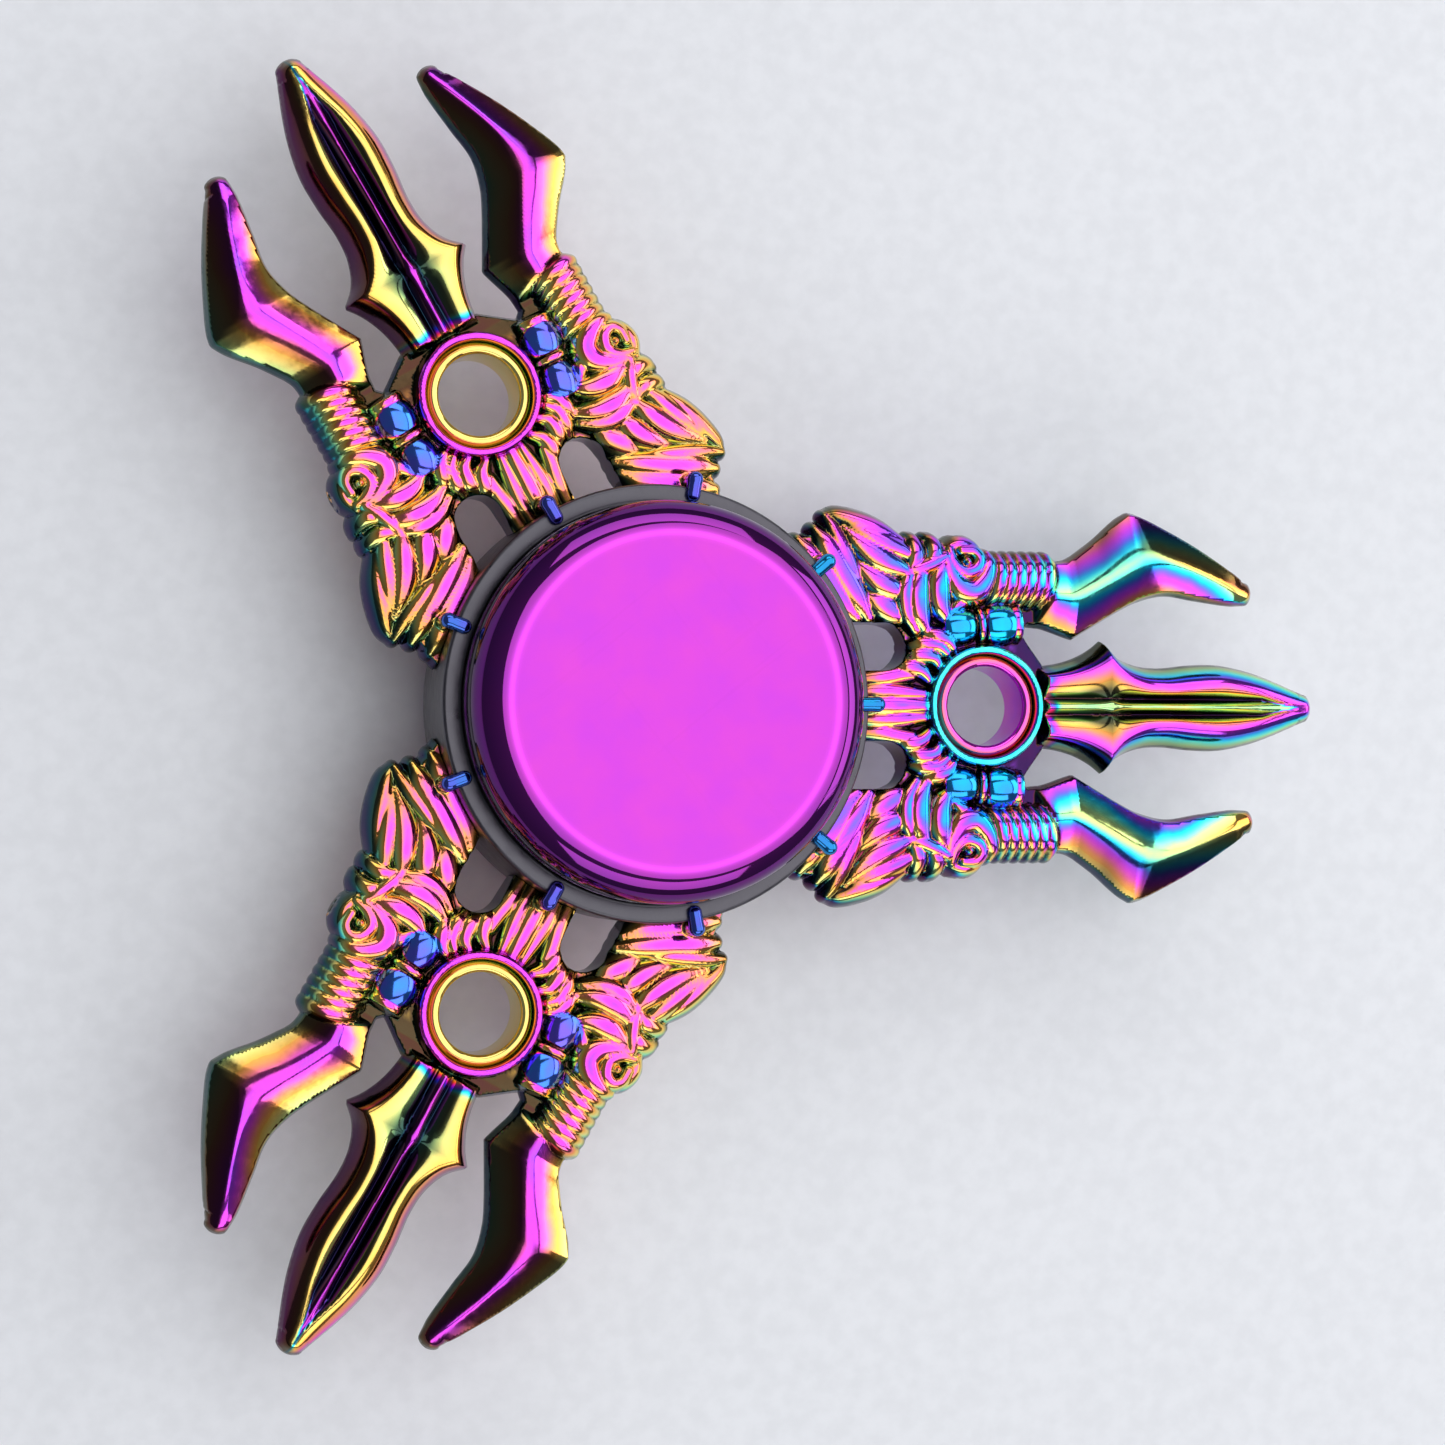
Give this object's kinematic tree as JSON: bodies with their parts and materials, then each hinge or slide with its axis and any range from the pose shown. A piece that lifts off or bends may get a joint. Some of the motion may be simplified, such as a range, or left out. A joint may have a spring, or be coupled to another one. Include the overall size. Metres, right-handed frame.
{
  "type": "fidget spinner",
  "caption": "Three-armed metal finger spinner: winged trident blades with eyelets round a ball-bearing hub, held between two dished caps.",
  "frame": {"origin": "centre of the bearing in the middle plane, which is also the centroid", "axes": "+Z along the spin axis out of the top cap, +X along the first arm"},
  "size_m": [0.0646, 0.0696, 0.014],
  "materials": {
    "plated_arm": "polished with a rainbow plating of magenta, gold, cyan and green",
    "plated_cap": "turned and polished with a magenta plating",
    "eyelet_ring": "polished with a gold and orange plating",
    "hub_steel": "satin",
    "bearing_steel": "ground and polished",
    "shield_steel": "pressed sheet",
    "cage_steel": "pressed sheet",
    "stud_steel": "dark turned"
  },
  "bodies": {
    "spindle": {"top_cap": "plated_cap", "bottom_cap": "plated_cap", "centre_stud": "stud_steel", "bearing_inner_race": "bearing_steel"},
    "rotor": {"hub_ring": "hub_steel", "bearing_outer_race": "bearing_steel", "upper_shield": "shield_steel", "lower_shield": "shield_steel", "arm_1": "plated_arm", "arm_2": "plated_arm", "arm_3": "plated_arm", "eyelet_ring_1": "eyelet_ring", "eyelet_ring_2": "eyelet_ring", "eyelet_ring_3": "eyelet_ring"},
    "cage": {"cage_upper_half": "cage_steel", "cage_lower_half": "cage_steel", "cage_rivets": "cage_steel"},
    "ball_1_body": {"ball_1": "bearing_steel"},
    "ball_2_body": {"ball_2": "bearing_steel"},
    "ball_3_body": {"ball_3": "bearing_steel"},
    "ball_4_body": {"ball_4": "bearing_steel"},
    "ball_5_body": {"ball_5": "bearing_steel"},
    "ball_6_body": {"ball_6": "bearing_steel"},
    "ball_7_body": {"ball_7": "bearing_steel"}
  },
  "joints": [
    {"name": "rotor_spin", "type": "hinge", "parent": "spindle", "child": "rotor", "pos_m": [0, 0, 0], "axis": [0, 0, 1], "continuous": true},
    {"name": "cage_spin", "type": "hinge", "parent": "spindle", "child": "cage", "pos_m": [0, 0, 0], "axis": [0, 0, 1], "continuous": true},
    {"name": "ball_1_spin", "type": "hinge", "parent": "cage", "child": "ball_1_body", "pos_m": [0.0075, 0, 0], "axis": [0, 0, 1], "continuous": true},
    {"name": "ball_2_spin", "type": "hinge", "parent": "cage", "child": "ball_2_body", "pos_m": [0.00468, 0.00586, 0], "axis": [0, 0, 1], "continuous": true},
    {"name": "ball_3_spin", "type": "hinge", "parent": "cage", "child": "ball_3_body", "pos_m": [-0.00167, 0.00731, 0], "axis": [0, 0, 1], "continuous": true},
    {"name": "ball_4_spin", "type": "hinge", "parent": "cage", "child": "ball_4_body", "pos_m": [-0.00676, 0.00325, 0], "axis": [0, 0, 1], "continuous": true},
    {"name": "ball_5_spin", "type": "hinge", "parent": "cage", "child": "ball_5_body", "pos_m": [-0.00676, -0.00325, 0], "axis": [0, 0, 1], "continuous": true},
    {"name": "ball_6_spin", "type": "hinge", "parent": "cage", "child": "ball_6_body", "pos_m": [-0.00167, -0.00731, 0], "axis": [0, 0, 1], "continuous": true},
    {"name": "ball_7_spin", "type": "hinge", "parent": "cage", "child": "ball_7_body", "pos_m": [0.00468, -0.00586, 0], "axis": [0, 0, 1], "continuous": true}
  ],
  "couplings": [
    {"joint": "cage_spin", "follows": "rotor_spin", "ratio": 0.6323},
    {"joint": "ball_1_spin", "follows": "rotor_spin", "ratio": 1.7574},
    {"joint": "ball_2_spin", "follows": "rotor_spin", "ratio": 1.7574},
    {"joint": "ball_3_spin", "follows": "rotor_spin", "ratio": 1.7574},
    {"joint": "ball_4_spin", "follows": "rotor_spin", "ratio": 1.7574},
    {"joint": "ball_5_spin", "follows": "rotor_spin", "ratio": 1.7574},
    {"joint": "ball_6_spin", "follows": "rotor_spin", "ratio": 1.7574},
    {"joint": "ball_7_spin", "follows": "rotor_spin", "ratio": 1.7574}
  ]
}
